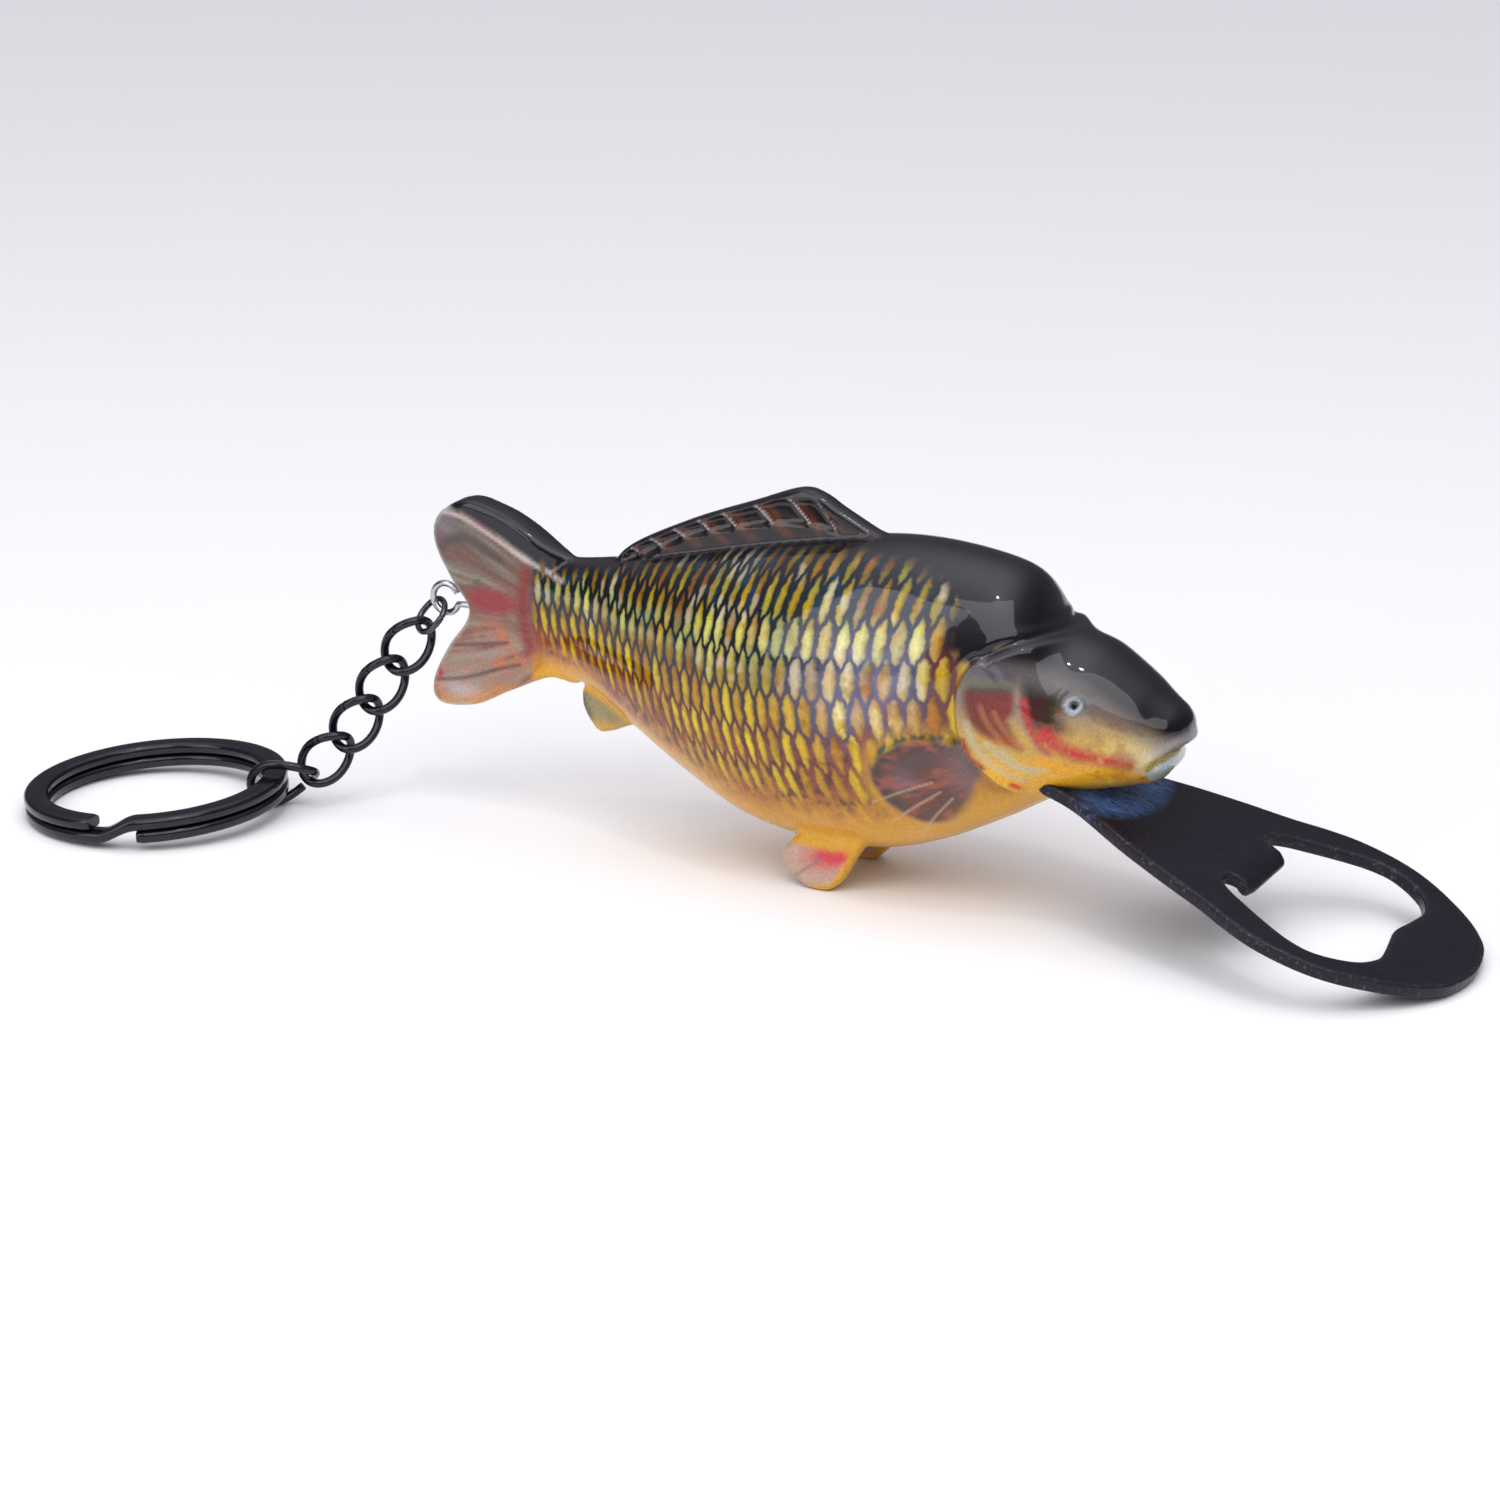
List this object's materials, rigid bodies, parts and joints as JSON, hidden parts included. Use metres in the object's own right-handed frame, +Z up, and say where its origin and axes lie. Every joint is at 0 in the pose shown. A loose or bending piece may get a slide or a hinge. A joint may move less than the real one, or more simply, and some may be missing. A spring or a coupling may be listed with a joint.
{
  "type": "souvenir bottle opener",
  "caption": "Carp-shaped souvenir bottle opener: a printed resin fish on a black stamped steel opener plate, with a short curb chain and a split key ring.",
  "frame": {"origin": "on the table under the middle of the bounding box", "axes": "+X from the split ring towards the opener plate's tip, +Y to the carp's left side, +Z up"},
  "size_m": [0.1649, 0.0486, 0.0426],
  "materials": {
    "printed_resin": "glossy clear coat over a printed carp pattern",
    "black_steel": "satin black coating",
    "bright_wire": "bright nickel",
    "gunmetal_wire": "gunmetal plating",
    "black_nickel": "black nickel plating",
    "ring_steel": "black nickel plating, slightly satin"
  },
  "bodies": {
    "opener": {"carp_body": "printed_resin", "opener_plate": "black_steel", "screw_eye": "bright_wire"},
    "jump_ring": {"jump_ring": "gunmetal_wire"},
    "chain_link_1": {"chain_link_1": "black_nickel"},
    "chain_link_2": {"chain_link_2": "black_nickel"},
    "chain_link_3": {"chain_link_3": "black_nickel"},
    "chain_link_4": {"chain_link_4": "black_nickel"},
    "chain_link_5": {"chain_link_5": "black_nickel"},
    "split_ring": {"split_ring": "ring_steel"}
  },
  "joints": [
    {"name": "jump_ring_swing", "type": "hinge", "parent": "opener", "child": "jump_ring", "pos_m": [-0.03947, 0.008, 0.02355], "axis": [0.7302, -0.6512, -0.2071], "range_deg": [-25, 12]},
    {"name": "chain_link_1_swing", "type": "hinge", "parent": "jump_ring", "child": "chain_link_1", "pos_m": [-0.04122, 0.00679, 0.02119], "axis": [0.1402, 0.8789, -0.456], "range_deg": [-26, 40]},
    {"name": "chain_link_2_swing", "type": "hinge", "parent": "chain_link_1", "child": "chain_link_2", "pos_m": [-0.04389, 0.00494, 0.01681], "axis": [0.872, -0.1782, -0.456], "range_deg": [-35, 30]},
    {"name": "chain_link_3_swing", "type": "hinge", "parent": "chain_link_2", "child": "chain_link_3", "pos_m": [-0.04629, 0.00328, 0.01221], "axis": [0.1402, 0.8789, -0.456], "range_deg": [-35, 30]},
    {"name": "chain_link_4_swing", "type": "hinge", "parent": "chain_link_3", "child": "chain_link_4", "pos_m": [-0.04896, 0.00143, 0.00783], "axis": [0.872, -0.1782, -0.456], "range_deg": [-25, 40]},
    {"name": "chain_link_5_swing", "type": "hinge", "parent": "chain_link_4", "child": "chain_link_5", "pos_m": [-0.05215, -0.00078, 0.00401], "axis": [-0.4038, 0.7737, -0.4882], "range_deg": [-45, 10]},
    {"name": "split_ring_swing", "type": "hinge", "parent": "chain_link_5", "child": "split_ring", "pos_m": [-0.05553, -0.00265, 0.00314], "axis": [-0.4834, 0.8754, 0], "range_deg": [-60, 60]}
  ]
}
